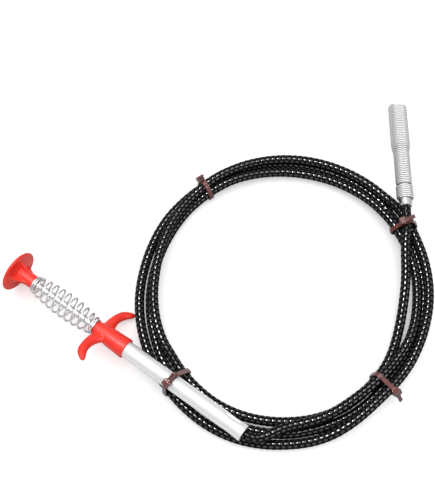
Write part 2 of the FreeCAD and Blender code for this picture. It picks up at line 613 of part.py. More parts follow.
# --------------------------------------------------------------- claw head
NODES.append(ring_body("head_ferrule", HEAD, [
    (0, D.ferrule_bore / 2),
    (0, D.ferrule_dia / 2 - 0.5),
    (0.5, D.ferrule_dia / 2),
    (D.ferrule_len - 0.2, D.ferrule_dia / 2),
    (D.ferrule_len, D.ferrule_dia / 2 - 0.2),
    (D.ferrule_len, D.ferrule_neck_dia / 2),
    (D.ferrule_neck_end, D.ferrule_neck_dia / 2),
    (D.ferrule_neck_end, D.core_dia / 2),
    (9.0, D.core_dia / 2),
    (9.0, D.ferrule_bore / 2),
]))
bs, be = val(D.base_start), val(D.base_end)
rb = val(D.base_dia) / 2.0
ib = val(D.base_bore) / 2.0
NODES.append(coil_tube("head_base_spring", HEAD, [(bs, be, rb, rb)],
                       [(be, ib), (bs, ib)]))
ns = be + 0.08
ne, ws, he = val(D.neck_end), val(D.wide_start), val(D.head_end)
rn, rw = val(D.neck_dia) / 2.0, val(D.wide_dia) / 2.0
inn, inw = val(D.neck_bore) / 2.0, val(D.wide_bore) / 2.0
NODES.append(coil_tube(
    "head_spring", HEAD,
    [(ns, ne, rn, rn), (ne, ws, rn, rw), (ws, he, rw, rw)],
    [(he, inw), (ws + 0.6, inw), (ne + 0.6, inn), (ns, inn)]))

# --------------------------------------------------------------------- claw
NODES.append(ring_body("claw_crimp_sleeve", HEAD, [
    (D.crimp_start, D.cable_dia / 2 + 0.02),
    (D.crimp_start, D.crimp_dia / 2 - 0.4),
    (D.crimp_start + 0.4, D.crimp_dia / 2),
    (D.crimp_start + D.crimp_len * 0.42, D.crimp_dia / 2),
    (D.crimp_start + D.crimp_len * 0.5, D.crimp_dia / 2 - 0.3),
    (D.crimp_start + D.crimp_len * 0.58, D.crimp_dia / 2),
    (D.crimp_start + D.crimp_len - 0.4, D.crimp_dia / 2),
    (D.crimp_start + D.crimp_len, D.crimp_dia / 2 - 0.4),
    (D.crimp_start + D.crimp_len, 0),
    (D.cable_end_stop + 0.05, 0),
    (D.cable_end_stop + 0.05, D.cable_dia / 2 + 0.02),
]))
NODES.append(ring_body("claw_cable_end", HEAD, [
    (D.cable_end_start, 0),
    (D.cable_end_start, D.cable_dia / 2),
    (D.cable_end_stop, D.cable_dia / 2),
    (D.cable_end_stop, 0),
]))
# Four flat strip roots standing on one thin disc in front of the crimp.
disc_x = D.crimp_start + D.crimp_len + 0.02
roots = ring_body("claw_strip_roots", HEAD, [
    (disc_x, 0),
    (disc_x, D.strip_rad + D.strip_thick),
    (disc_x + D.root_disc, D.strip_rad + D.strip_thick),
    (disc_x + D.root_disc, 0),
])
root_sk = new_sketch(roots, "root_profile")
polygon(root_sk, [
    (disc_x + 0.1, D.strip_rad - D.strip_thick / 2),
    (disc_x + 0.1, D.strip_rad + D.strip_thick / 2),
    (D.root_end, D.strip_rad + D.strip_thick / 2),
    (D.root_end, D.strip_rad - D.strip_thick / 2),
])
root = pad_both(roots, root_sk, "root_strip", D.strip_wide)
doc.recompute()
root_set = roots.newObject("PartDesign::PolarPattern", "root_strips")
root_set.Originals = [root]
root_set.Axis = (root_sk, ["H_Axis"])
root_set.Angle = 360.0
root_set.Occurrences = 4
roots.Tip = root_set
# turn the set so the strips stand on the diagonals
roots.Placement = HEAD.multiply(FreeCAD.Placement(
    V(0, 0, 0), FreeCAD.Rotation(V(1, 0, 0), 45.0)))
NODES.append(roots)

for k in range(4):
    name = "claw_finger_%d" % (k + 1)
    ang = math.radians(45.0 + 90.0 * k)
    radial = HEAD.Rotation.multVec(V(0, math.cos(ang), math.sin(ang)))
    pivot = HEAD.multVec(V(val(D.pivot_x), val(D.strip_rad) * math.cos(ang),
                           val(D.strip_rad) * math.sin(ang)))
    finger = make_body(name, frame(pivot, HEAD_X, radial))
    sk = new_sketch(finger, name + "_profile", "XZ_Plane")
    reach = D.finger_len - D.finger_step * k
    half = D.strip_thick / 2
    polygon(sk, [
        (0, half),
        (reach - 1.2, half),
        (reach - 0.55, half - 0.17),
        (reach - 0.17, half - 0.55),
        (reach, half - 1.2),
        (reach, -D.hook_drop),
        (reach - D.strip_thick, -D.hook_drop),
        (reach - D.strip_thick, half - 1.3),
        (reach - D.strip_thick - 0.3, -half - 0.1),
        (reach - D.strip_thick - 0.8, -half),
        (0, -half),
    ])
    pad_both(finger, sk, name + "_strip", D.strip_wide)
    NODES.append(finger)

# --------------------------------------------------------------- cable ties
# Each tie hugs the hull of the strands that cross its plane.


def crossing(points, origin, normal, shift, near):
    """Where a polyline crosses the plane, close to the tie."""
    hits = []
    base = origin + normal * shift
    for a, b in zip(points, points[1:]):
        da, db = (a - base).dot(normal), (b - base).dot(normal)
        if da * db < 0:
            p = a + (b - a) * (da / (da - db))
            if (p - origin).Length < near:
                hits.append((p, (b - a).normalize()))
    return hits


def hull_arcs(circles):
    """Support-function hull of circles: (centre, radius, angle0, angle1)."""
    def support(i, ang):
        c, r = circles[i]
        return c[0] * math.cos(ang) + c[1] * math.sin(ang) + r

    n = 1440
    active = []
    for s in range(n):
        ang = 2.0 * math.pi * s / n
        active.append(max(range(len(circles)), key=lambda i: support(i, ang)))
    turnover = []
    for s in range(n):
        i, j = active[s - 1], active[s]
        if i != j:
            lo, hi = 2.0 * math.pi * (s - 1) / n, 2.0 * math.pi * s / n
            for _ in range(60):
                mid = (lo + hi) / 2.0
                if support(i, mid) > support(j, mid):
                    lo = mid
                else:
                    hi = mid
            turnover.append((lo, i, j))
    arcs = []
    for m in range(len(turnover)):
        a0, _, j = turnover[m]
        a1 = turnover[(m + 1) % len(turnover)][0]
        while a1 < a0:
            a1 += 2.0 * math.pi
        arcs.append((circles[j][0], circles[j][1], a0, a1))
    return arcs


# centre from the coil centre, plane normal heading (degrees), angle of the
# tie head on the band, tail turn, whether the band also holds the tube
TIES = [
    (V(-73.9, -57.0, 8.0), -45.0, 62.0, 1.0, True),
    (V(-53.71, 85.77, 8.0), -143.5, 22.0, 1.0, False),
    (V(85.13, 54.35, 8.0), 103.0, 118.0, -1.0, False),
    (V(62.78, -57.09, 8.0), 45.6, 30.0, -1.0, False),
]
COIL = V(44.15, -26.93, 0)
for k, (from_coil, heading, head_at, tail_turn, with_tube) in enumerate(TIES):
    name = "cable_tie_%d" % (k + 1)
    centre = COIL + from_coil
    h = math.radians(heading)
    normal = V(math.cos(h), math.sin(h), 0)
    outward = V(-normal.y, normal.x, 0)
    if outward.dot(V(from_coil.x, from_coil.y, 0)) < 0:
        outward = outward * -1
    # local X outward, local Y up, local Z along the strands
    zdir = outward.cross(V(0, 0, 1))
    placement = FreeCAD.Placement(FreeCAD.Matrix(
        outward.x, 0, zdir.x, centre.x,
        outward.y, 0, zdir.y, centre.y,
        outward.z, 1, zdir.z, centre.z,
        0, 0, 0, 1))
    half = val(D.tie_wide) / 2.0
    gap = val(D.tie_gap)
    circles = []
    lines = [(hose_line, val(D.hose_dia) / 2.0)]
    if with_tube:
        lines.append(([HANDLE_O + HANDLE_X * x for x in (100.0, 160.0)],
                      val(D.tube_dia) / 2.0))
    for line, radius in lines:
        for shift in (-half, half):
            for p, d in crossing(line, centre, normal, shift, 19.0):
                rel = p - centre
                circles.append(((rel.dot(outward), rel.z),
                                radius / max(0.8, abs(d.dot(normal))) + gap))
    arcs = hull_arcs(circles)
    body = make_body(name, placement)
    sk = new_sketch(body, name + "_band")
    for off in (0.0, val(D.tie_thick)):
        ends = []
        for c, r, a0, a1 in arcs:
            rr = r + off
            circle = Part.Circle(V(c[0], c[1], 0), V(0, 0, 1), rr)
            sk.addGeometry(Part.ArcOfCircle(circle, a0, a1), False)
            ends.append(((c[0] + rr * math.cos(a0), c[1] + rr * math.sin(a0)),
                         (c[0] + rr * math.cos(a1), c[1] + rr * math.sin(a1))))
        for m in range(len(ends)):
            a, b = ends[m][1], ends[(m + 1) % len(ends)][0]
            if math.hypot(a[0] - b[0], a[1] - b[1]) > 1e-6:
                add_line(sk, a, b)
    pad_both(body, sk, name + "_strap", D.tie_wide)
    doc.recompute()
    # the ratchet head sits on the band with the cut tail beyond it
    ang = math.radians(head_at)
    best = max(circles, key=lambda q: q[0][0] * math.cos(ang)
               + q[0][1] * math.sin(ang) + q[1])
    reach = best[1] + 0.25
    foot = (best[0][0] + reach * math.cos(ang), best[0][1] + reach * math.sin(ang))
    ex = (math.cos(ang), math.sin(ang))
    ey = (-math.sin(ang), math.cos(ang))

    def at(u, w):
        return (foot[0] + ex[0] * u + ey[0] * w, foot[1] + ex[1] * u + ey[1] * w)

    hl = val(D.tie_head_long) / 2.0
    hh = val(D.tie_head_high)
    sk = new_sketch(body, name + "_head_profile")
    loop = [at(0, -hl), at(hh - 0.6, -hl), at(hh, -hl + 0.6), at(hh, hl - 0.6),
            at(hh - 0.6, hl), at(0, hl)]
    for a, b in zip(loop, loop[1:] + loop[:1]):
        add_line(sk, a, b)
    pad_both(body, sk, name + "_head", D.tie_head_wide)
    doc.recompute()
    tl = val(D.tie_tail_long)
    tt = val(D.tie_tail_thick)
    sk = new_sketch(body, name + "_tail_profile")
    s = tail_turn
    loop = [at(hh * 0.42, s * (hl - 0.4)), at(hh * 0.42 + tt, s * (hl - 0.4)),
            at(hh * 0.60 + tt, s * (hl + tl)), at(hh * 0.60, s * (hl + tl))]
    for a, b in zip(loop, loop[1:] + loop[:1]):
        add_line(sk, a, b)
    pad_both(body, sk, name + "_tail", D.tie_tail_wide)
    NODES.append(body)

doc.recompute()

# ------------------------------------------------------------ check and save
problems = []
for obj in doc.Objects:
    for flag in obj.State:
        if flag in ("Invalid", "Error"):
            problems.append("%s: %s" % (obj.Name, flag))
for node in NODES:
    shape = node.Shape
    if shape.isNull() or not shape.isValid() or shape.Volume <= 0:
        problems.append("%s: bad shape" % node.Name)
    else:
        print("%-20s solids %d volume %.1f box %s" % (
            node.Label, len(shape.Solids), shape.Volume,
            [round(q, 1) for q in (shape.BoundBox.XMin, shape.BoundBox.YMin,
                                   shape.BoundBox.ZMin, shape.BoundBox.XMax,
                                   shape.BoundBox.YMax, shape.BoundBox.ZMax)]))
if problems:
    raise RuntimeError("; ".join(problems))

os.makedirs("parts", exist_ok=True)
for node in NODES:
    node.Shape.exportStep("parts/%s.step" % node.Label)
print("written", len(NODES))
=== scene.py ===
import math

import bpy
import numpy as np
from mathutils import Matrix, Vector


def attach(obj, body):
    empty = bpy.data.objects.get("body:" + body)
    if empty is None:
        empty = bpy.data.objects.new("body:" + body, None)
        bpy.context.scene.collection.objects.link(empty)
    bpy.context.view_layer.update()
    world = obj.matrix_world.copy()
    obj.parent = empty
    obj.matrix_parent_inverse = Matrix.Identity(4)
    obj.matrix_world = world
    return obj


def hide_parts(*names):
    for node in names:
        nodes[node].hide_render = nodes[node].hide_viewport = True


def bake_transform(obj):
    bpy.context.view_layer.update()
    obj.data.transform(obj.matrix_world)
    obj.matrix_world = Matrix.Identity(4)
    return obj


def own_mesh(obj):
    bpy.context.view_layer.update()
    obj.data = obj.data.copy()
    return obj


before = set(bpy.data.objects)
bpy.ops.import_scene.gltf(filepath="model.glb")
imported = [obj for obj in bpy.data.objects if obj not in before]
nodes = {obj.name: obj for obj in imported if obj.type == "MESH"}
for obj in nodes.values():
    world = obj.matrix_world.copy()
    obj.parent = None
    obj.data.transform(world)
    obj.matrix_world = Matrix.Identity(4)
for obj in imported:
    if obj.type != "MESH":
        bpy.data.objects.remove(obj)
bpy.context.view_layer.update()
ROOT = "handle_and_hose"

MM = 0.001


def unit(v):
    v = np.array(v, float)
    return v / np.linalg.norm(v)


# ------------------------------------------------------------------ frames
# Handle: origin in the thumb button, X toward the tube end.
HANDLE_O = np.array([-135.165, -7.791, 14.750])
HANDLE_X = unit((0.807553, -0.589712, 0.009930))
# Head: origin at the hose end, X toward the open mouth.
HEAD_O = np.array([130.077, 40.803, 15.200])
HEAD_X = unit((0.016927, 0.998627, -0.049572))
UP = np.array([0.0, 0.0, 1.0])
HEAD_Z = unit(UP - HEAD_X * (UP @ HEAD_X))
HEAD_Y = np.cross(HEAD_Z, HEAD_X)
H_SIDE = unit([-HANDLE_X[1], HANDLE_X[0], 0.0])
H_UP = np.cross(HANDLE_X, H_SIDE)
ROLL = math.radians(30.0)
HANDLE_Z = unit(H_UP * math.cos(ROLL) + H_SIDE * math.sin(ROLL))
HANDLE_Y = np.cross(HANDLE_Z, HANDLE_X)

STATIONS = np.array([
    (-2.48, -104.68, 16.38), (3.58, -109.11, 16.45), (9.65, -113.54, 16.54), (15.78, -117.56, 14.93), (22.89, -119.52, 12.42),
    (30.23, -117.85, 11.55), (37.00, -114.68, 11.21), (43.94, -112.10, 10.60), (51.24, -110.35, 10.49), (58.58, -108.71, 10.80),
    (65.63, -106.43, 11.01), (72.30, -103.37, 11.18), (78.68, -99.70, 11.25), (84.85, -95.62, 11.26), (90.88, -91.24, 11.24),
    (96.78, -86.58, 11.19), (102.57, -81.66, 11.07), (108.26, -76.48, 10.74), (113.59, -70.82, 10.10), (118.33, -64.88, 9.99),
    (122.59, -58.85, 10.09), (126.13, -52.41, 10.04), (128.92, -45.53, 9.78), (131.02, -38.18, 9.45), (132.50, -30.59, 9.08),
    (133.46, -22.95, 8.75), (133.86, -15.39, 8.63), (133.66, -7.94, 8.65), (132.84, -0.47, 8.66), (131.34, 7.02, 8.58),
    (129.13, 14.41, 8.31), (126.14, 21.38, 8.51), (122.74, 28.05, 9.31), (118.75, 34.53, 9.36), (114.21, 40.86, 8.80),
    (109.31, 46.86, 7.88), (103.62, 52.00, 7.59), (97.46, 56.58, 7.41), (90.92, 60.67, 7.13), (84.02, 64.22, 6.83),
    (76.81, 67.16, 6.59), (69.34, 69.48, 6.45), (61.69, 71.21, 6.34), (53.92, 72.31, 6.30), (46.09, 72.71, 6.43),
    (38.26, 72.44, 6.69), (30.52, 71.53, 7.01), (22.97, 69.96, 7.38), (15.58, 67.78, 7.68), (8.48, 65.02, 7.72),
    (1.77, 61.66, 7.23), (-4.59, 57.97, 6.28), (-10.59, 53.79, 5.21), (-16.23, 49.01, 4.57), (-21.52, 43.47, 4.55),
    (-26.30, 37.31, 4.55), (-30.57, 30.82, 4.55), (-34.36, 24.07, 4.55), (-37.67, 17.09, 4.55), (-40.48, 9.92, 4.55),
    (-42.77, 2.59, 4.55), (-44.52, -4.86, 4.55), (-45.72, -12.39, 4.55), (-46.35, -19.96, 4.55), (-46.41, -27.53, 4.55),
    (-45.90, -35.06, 4.55), (-44.79, -42.50, 4.55), (-43.10, -49.82, 4.55), (-40.93, -57.01, 4.55), (-38.32, -64.07, 4.55),
    (-34.85, -70.85, 4.55), (-30.58, -77.29, 4.55), (-25.81, -83.38, 4.55), (-20.69, -89.04, 4.55), (-15.11, -94.23, 4.55),
    (-9.12, -98.96, 4.55), (-2.76, -103.20, 4.55), (3.92, -106.91, 4.55), (10.91, -110.00, 4.55), (18.21, -112.40, 4.55),
    (25.74, -114.09, 4.55), (33.43, -115.09, 4.55), (41.21, -115.39, 4.55), (48.99, -114.89, 4.55), (56.68, -113.66, 4.55),
    (64.22, -111.83, 4.55), (71.46, -109.56, 4.55), (78.52, -106.65, 4.55), (85.31, -103.10, 4.55), (91.57, -98.94, 4.55),
    (97.34, -94.23, 4.55), (102.75, -89.06, 4.55), (107.94, -83.46, 4.55), (112.88, -77.69, 4.55), (117.74, -71.93, 4.55),
    (122.31, -65.94, 4.55), (126.42, -59.61, 4.55), (130.03, -52.95, 4.55), (133.14, -46.02, 4.55), (135.59, -38.95, 4.55),
    (137.37, -31.71, 4.55), (138.56, -24.29, 4.55), (139.09, -16.65, 4.55), (138.94, -8.88, 4.55), (138.21, -1.11, 4.55),
    (136.89, 6.58, 4.55), (135.04, 14.16, 4.55), (132.36, 21.27, 4.55), (128.45, 27.86, 4.55), (124.37, 34.49, 4.55),
    (120.21, 40.95, 4.55), (116.11, 47.60, 4.55), (110.97, 53.47, 4.55), (105.14, 58.49, 4.55), (98.93, 62.99, 4.55),
    (92.29, 67.03, 4.55), (85.31, 70.52, 4.55), (78.10, 73.46, 4.55), (70.71, 75.81, 4.55), (63.18, 77.54, 4.55),
    (55.62, 78.62, 4.55), (48.10, 79.13, 4.55), (40.57, 79.02, 4.55), (33.05, 78.23, 4.55), (25.58, 76.82, 4.55),
    (18.22, 74.93, 4.55), (11.03, 72.48, 4.55), (4.00, 69.55, 4.55), (-2.88, 66.26, 4.55), (-9.56, 62.57, 4.55),
    (-15.84, 58.15, 4.55), (-21.64, 53.05, 4.55), (-26.91, 47.64, 4.55), (-31.84, 41.98, 4.55), (-36.25, 35.89, 4.55),
    (-40.11, 29.41, 4.55), (-43.46, 22.60, 4.55), (-46.32, 15.54, 4.55), (-48.71, 8.30, 4.55), (-50.66, 0.93, 4.55),
    (-52.17, -6.49, 4.55), (-53.21, -13.95, 4.55), (-53.73, -21.44, 4.55), (-53.67, -28.95, 4.55), (-53.01, -36.45, 4.55),
    (-51.78, -43.91, 4.55), (-49.97, -51.28, 4.55), (-47.64, -58.53, 4.55), (-44.88, -65.64, 4.55), (-41.57, -72.59, 4.55),
    (-37.59, -79.10, 4.55), (-33.22, -85.36, 4.55), (-28.47, -91.32, 4.55), (-23.29, -96.89, 4.55), (-17.70, -102.02, 4.55),
    (-11.74, -106.67, 4.55), (-5.43, -110.79, 4.55), (1.22, -114.34, 4.55), (8.16, -117.26, 4.55), (15.33, -119.51, 4.55),
    (22.69, -121.06, 4.55), (30.18, -121.95, 4.55), (37.76, -122.22, 4.55), (45.36, -121.93, 4.55), (52.94, -121.16, 4.55),
    (60.38, -119.76, 4.68), (67.55, -117.71, 5.72), (74.47, -114.91, 7.36), (80.95, -111.37, 8.72), (87.10, -107.23, 9.57),
    (92.98, -102.63, 10.02), (98.71, -97.68, 10.19), (104.37, -92.53, 10.13), (109.92, -87.28, 9.86), (115.21, -81.83, 9.55),
    (120.06, -76.15, 9.53), (124.36, -70.16, 9.87), (128.11, -63.82, 10.22), (131.43, -57.17, 10.48), (134.34, -50.29, 10.63),
    (136.80, -43.20, 10.73), (138.81, -35.90, 10.76), (140.27, -28.44, 10.79), (141.08, -20.97, 10.85), (141.29, -13.48, 10.90),
    (140.93, -5.99, 10.93), (140.03, 1.47, 10.92), (138.58, 8.84, 10.90), (136.55, 16.10, 10.88), (134.39, 23.73, 10.49),
    (132.33, 31.84, 8.38), (128.88, 39.09, 6.87), (124.03, 44.52, 8.86), (118.27, 48.93, 10.80), (112.84, 54.00, 11.01),
    (107.24, 59.12, 10.93), (101.18, 63.77, 10.91), (94.83, 67.82, 10.96), (88.21, 71.35, 10.99), (81.34, 74.37, 10.99),
    (74.24, 76.84, 10.98), (66.97, 78.74, 10.95), (59.55, 80.03, 10.92), (51.97, 80.69, 10.95), (44.37, 80.68, 11.01),
    (36.85, 80.05, 11.07), (29.44, 78.80, 11.13), (22.15, 76.93, 11.19), (15.03, 74.44, 11.24), (8.15, 71.38, 11.27),
    (1.53, 67.87, 11.26), (-4.71, 63.77, 11.15), (-10.54, 59.08, 10.86), (-15.92, 53.99, 10.51), (-21.03, 48.48, 10.46),
    (-25.56, 42.35, 10.80), (-29.56, 35.89, 11.01), (-33.08, 29.20, 11.16), (-36.08, 22.28, 11.25), (-38.54, 15.18, 11.28),
    (-40.49, 7.94, 11.23), (-42.00, 0.60, 11.13), (-43.11, -6.80, 11.01), (-43.81, -14.26, 10.90), (-44.02, -21.77, 10.81),
    (-43.64, -29.31, 10.70), (-42.60, -36.84, 10.55), (-40.89, -44.30, 10.34), (-38.49, -51.56, 9.99), (-35.23, -58.32, 9.08),
    (-31.26, -64.32, 6.82), (-27.35, -70.25, 4.72), (-22.99, -76.28, 4.55), (-18.11, -82.03, 4.55), (-12.71, -87.35, 4.55),
    (-6.92, -92.19, 4.55), (-0.74, -96.47, 4.55), (5.87, -100.05, 4.55), (12.82, -102.94, 4.55), (20.01, -105.15, 4.55),
    (27.37, -106.67, 4.55), (34.85, -107.54, 4.55), (42.42, -107.78, 4.55), (50.02, -107.38, 4.55), (57.58, -106.37, 4.55),
    (64.99, -104.59, 4.55), (72.18, -102.14, 4.55), (78.96, -99.01, 4.55), (85.35, -95.11, 4.55), (91.35, -90.51, 4.55),
    (96.96, -85.41, 4.55), (102.16, -79.97, 4.55), (106.99, -74.13, 4.55), (111.18, -67.78, 4.55), (114.65, -60.85, 4.55),
    (117.47, -53.46, 4.58), (119.79, -45.99, 5.16), (121.64, -38.66, 6.54), (123.15, -31.38, 8.24), (124.43, -24.06, 9.88),
    (125.51, -16.64, 11.31), (126.30, -9.16, 12.47), (126.75, -1.69, 13.46), (126.98, 5.62, 14.59), (127.39, 12.73, 15.93),
    (128.34, 19.87, 16.62), (129.23, 26.84, 16.08), (129.86, 33.85, 15.53), (130.08, 41.29, 15.19), (130.21, 48.79, 14.80),
])


# ---------------------------------------------------------------- materials
class Nodes:
    """Small helper round one node tree."""

    def __init__(self, name):
        self.mat = bpy.data.materials.new(name)
        self.mat.use_nodes = True
        self.tree = self.mat.node_tree
        self.bsdf = self.tree.nodes["Principled BSDF"]

    def add(self, kind, **values):
        n = self.tree.nodes.new(kind)
        for k, v in values.items():
            setattr(n, k, v)
        return n

    def link(self, a, b):
        self.tree.links.new(a, b)

    def noise(self, scale, detail=3.0, rough=0.5, stretch=None):
        n = self.add("ShaderNodeTexNoise")
        n.inputs["Scale"].default_value = scale
        n.inputs["Detail"].default_value = detail
        n.inputs["Roughness"].default_value = rough
        c = self.add("ShaderNodeTexCoord")
        if stretch:
            m = self.add("ShaderNodeMapping")
            m.inputs["Scale"].default_value = stretch
            self.link(c.outputs["Object"], m.inputs["Vector"])
            self.link(m.outputs["Vector"], n.inputs["Vector"])
        else:
            self.link(c.outputs["Object"], n.inputs["Vector"])
        return n.outputs["Fac"]

    def ramp(self, fac, lo, hi, a=0.35, b=0.65):
        r = self.add("ShaderNodeMapRange")
        r.inputs["From Min"].default_value = a
        r.inputs["From Max"].default_value = b
        r.inputs["To Min"].default_value = lo
        r.inputs["To Max"].default_value = hi
        self.link(fac, r.inputs["Value"])
        return r.outputs["Result"]

    def mix(self, fac, c0, c1):
        m = self.add("ShaderNodeMix", data_type="RGBA")
        m.inputs[6].default_value = (*c0, 1.0)
        m.inputs[7].default_value = (*c1, 1.0)
        self.link(fac, m.inputs[0])
        return m.outputs[2]

    def bump(self, height, strength, distance):
        b = self.add("ShaderNodeBump")
        b.inputs["Strength"].default_value = strength
        b.inputs["Distance"].default_value = distance
        self.link(height, b.inputs["Height"])
        self.link(b.outputs["Normal"], self.bsdf.inputs["Normal"])

    def set(self, **values):
        for k, v in values.items():
            self.bsdf.inputs[k.replace("_", " ")].default_value = v


def metal(name, c0, c1, rough, spread, scale=900.0, grain=0.06, painted_edge_shade=0.22,
          shade_start=0.45, shade_end=0.92):
    """Plated metal: fine grain, and painted shade that darkens the base colour toward grazing view."""
    n = Nodes(name)
    n.set(Metallic=1.0, Roughness=rough)
    f = n.noise(scale, 4.0, 0.6)
    # Painted shade: the base colour fades to a dark grey toward grazing view, standing in for dark reflections along
    # the edges.
    lw = n.add("ShaderNodeLayerWeight")
    lw.inputs["Blend"].default_value = 0.5
    painted_rim_shade = n.add("ShaderNodeMix", data_type="RGBA")
    painted_rim_shade.inputs[7].default_value = (painted_edge_shade, painted_edge_shade, painted_edge_shade * 1.02, 1.0)
    n.link(n.ramp(lw.outputs["Facing"], 0.0, 1.0, shade_start, shade_end), painted_rim_shade.inputs[0])
    n.link(n.mix(n.ramp(f, 0.0, 1.0), c0, c1), painted_rim_shade.inputs[6])
    n.link(painted_rim_shade.outputs[2], n.bsdf.inputs["Base Color"])
    n.link(n.ramp(f, rough - spread, rough + spread), n.bsdf.inputs["Roughness"])
    n.bump(n.noise(scale * 2.2, 2.0), grain, 0.00005)
    return n.mat


def red_plastic():
    n = Nodes("red_plastic_moulded")
    f = n.noise(120.0, 3.0)
    n.link(n.mix(n.ramp(f, 0.0, 1.0), (0.78, 0.020, 0.009), (0.84, 0.030, 0.013)),
           n.bsdf.inputs["Base Color"])
    g = n.noise(700.0, 3.0)
    n.link(n.ramp(g, 0.36, 0.44), n.bsdf.inputs["Roughness"])
    n.set(IOR=1.50)
    n.bsdf.inputs["Specular IOR Level"].default_value = 0.55
    n.bsdf.inputs["Coat Weight"].default_value = 0.20
    n.bsdf.inputs["Coat Roughness"].default_value = 0.28
    return n.mat


def hose_black():
    n = Nodes("hose_black_braid")
    a = n.add("ShaderNodeAttribute")
    a.attribute_name = "relief"
    relief = a.outputs["Fac"]
    # Painted shade: the valleys between the raised lozenges get a darker base colour than their tops.
    n.link(n.mix(relief, (0.0015, 0.0015, 0.0018), (0.012, 0.012, 0.013)),
           n.bsdf.inputs["Base Color"])
    n.link(n.ramp(relief, 0.50, 0.17, 0.05, 0.75), n.bsdf.inputs["Roughness"])
    lw = n.add("ShaderNodeLayerWeight")
    lw.inputs["Blend"].default_value = 0.5
    shine = n.add("ShaderNodeMath", operation="MULTIPLY")
    n.link(n.ramp(relief, 0.03, 1.0, 0.20, 0.80), shine.inputs[0])
    n.link(n.ramp(lw.outputs["Facing"], 1.0, 0.30, 0.10, 0.45), shine.inputs[1])
    n.link(shine.outputs[0], n.bsdf.inputs["Specular IOR Level"])
    n.set(IOR=1.52)
    f = n.noise(2600.0, 2.0)
    n.bump(f, 0.10, 0.00006)
    return n.mat


def tie_brown():
    n = Nodes("tie_brown_nylon")
    f = n.noise(260.0, 3.0)
    n.link(n.mix(n.ramp(f, 0.0, 1.0), (0.050, 0.010, 0.008), (0.090, 0.020, 0.016)),
           n.bsdf.inputs["Base Color"])
    n.link(n.ramp(n.noise(900.0), 0.24, 0.36), n.bsdf.inputs["Roughness"])
    n.bsdf.inputs["Coat Weight"].default_value = 0.5
    n.bsdf.inputs["Coat Roughness"].default_value = 0.12
    n.bump(n.noise(1800.0, 2.0), 0.06, 0.00005)
    return n.mat


M_RED = red_plastic()
M_HOSE = hose_black()
M_TIE = tie_brown()
M_CHROME = metal("chrome_plate", (0.90, 0.90, 0.91), (0.95, 0.95, 0.95), 0.15, 0.03, 900.0, 0.015)
M_TUBE = metal("tube_plate", (0.95, 0.95, 0.96), (0.99, 0.99, 0.99), 0.24, 0.02, 300.0, 0.008,
               0.22, 0.82, 0.97)
M_WIRE = metal("spring_wire_plate", (0.92, 0.92, 0.93), (0.98, 0.98, 0.98), 0.26, 0.04, 1400.0, 0.03,
               0.14, 0.50, 0.90)
M_COIL = metal("head_coil_plate", (0.95, 0.95, 0.95), (0.99, 0.99, 0.99), 0.36, 0.02, 1400.0, 0.0,
               0.16, 0.28, 0.88)
M_CORE = metal("plain_steel_wire", (0.40, 0.40, 0.41), (0.52, 0.52, 0.52), 0.33, 0.06, 1200.0, 0.12)
M_CLAW = metal("claw_strip_steel", (0.50, 0.50, 0.51), (0.66, 0.66, 0.66), 0.26, 0.06, 1100.0, 0.10)


M_TUBE.node_tree.nodes["Principled BSDF"].inputs["Metallic"].default_value = 0.50
M_COIL.node_tree.nodes["Principled BSDF"].inputs["Metallic"].default_value = 0.72


# ------------------------------------------------------------ mesh helpers
def mesh_object(name, verts, faces, mat, smooth=True):
    me = bpy.data.meshes.new(name)
    me.from_pydata([tuple(v) for v in verts], [], faces)
    me.update()
    if smooth:
        me.polygons.foreach_set("use_smooth", [True] * len(me.polygons))
    me.materials.append(mat)
    ob = bpy.data.objects.new(name, me)
    bpy.context.collection.objects.link(ob)
    return ob


def cubic(points, step):
    """Natural cubic spline through the points, sampled about every step mm."""
    p = np.array(points, float)
    t = np.r_[0, np.cumsum(np.linalg.norm(np.diff(p, axis=0), axis=1))]
    n = len(t)
    h = np.diff(t)
    a = np.zeros((n, n))
    b = np.zeros((n, 3))
    a[0, 0] = a[-1, -1] = 1
    for i in range(1, n - 1):
        a[i, i - 1], a[i, i], a[i, i + 1] = h[i - 1], 2 * (h[i - 1] + h[i]), h[i]
        b[i] = 3 * ((p[i + 1] - p[i]) / h[i] - (p[i] - p[i - 1]) / h[i - 1])
    c = np.linalg.solve(a, b)
    d = (c[1:] - c[:-1]) / (3 * h[:, None])
    bb = (p[1:] - p[:-1]) / h[:, None] - h[:, None] * (2 * c[:-1] + c[1:]) / 3
    q = np.linspace(0, t[-1], max(2, int(round(t[-1] / step)) + 1))
    k = np.clip(np.searchsorted(t, q, side="right") - 1, 0, n - 2)
    x = (q - t[k])[:, None]
    return p[k] + bb[k] * x + c[k] * x ** 2 + d[k] * x ** 3


def transport(path):
    """Tangents and a twist-free pair of side directions along a path."""
    t = np.gradient(path, axis=0)
    t /= np.linalg.norm(t, axis=1)[:, None]
    u = np.cross(t[0], [0, 0, 1.0])
    if np.linalg.norm(u) < 1e-3:
        u = np.cross(t[0], [1.0, 0, 0])
    u /= np.linalg.norm(u)
    us = np.zeros_like(path)
    for i in range(len(path)):
        u = u - t[i] * (u @ t[i])
        u /= np.linalg.norm(u)
        us[i] = u
    return t, us, np.cross(t, us)


def sweep(name, path, radii, mat, phase=None):
    """Tube round a path.  radii: (rows, around) in mm."""
    rows, around = radii.shape
    t, u, v = transport(path)
    ang = np.linspace(0, 2 * math.pi, around, endpoint=False)
    c, s = np.cos(ang), np.sin(ang)
    ring = (u[:, None, :] * c[None, :, None] + v[:, None, :] * s[None, :, None])
    pts = path[:, None, :] + ring * radii[:, :, None]
    verts = (pts.reshape(-1, 3)) * MM
    i = np.arange(rows - 1)[:, None] * around
    j = np.arange(around)[None, :]
    j2 = (j + 1) % around
    quads = np.stack([i + j, i + j2, i + around + j2, i + around + j], -1).reshape(-1, 4)
    faces = quads.tolist()
    faces.append(list(range(around))[::-1])
    faces.append([(rows - 1) * around + q for q in range(around)])
    return mesh_object(name, verts, faces, mat)


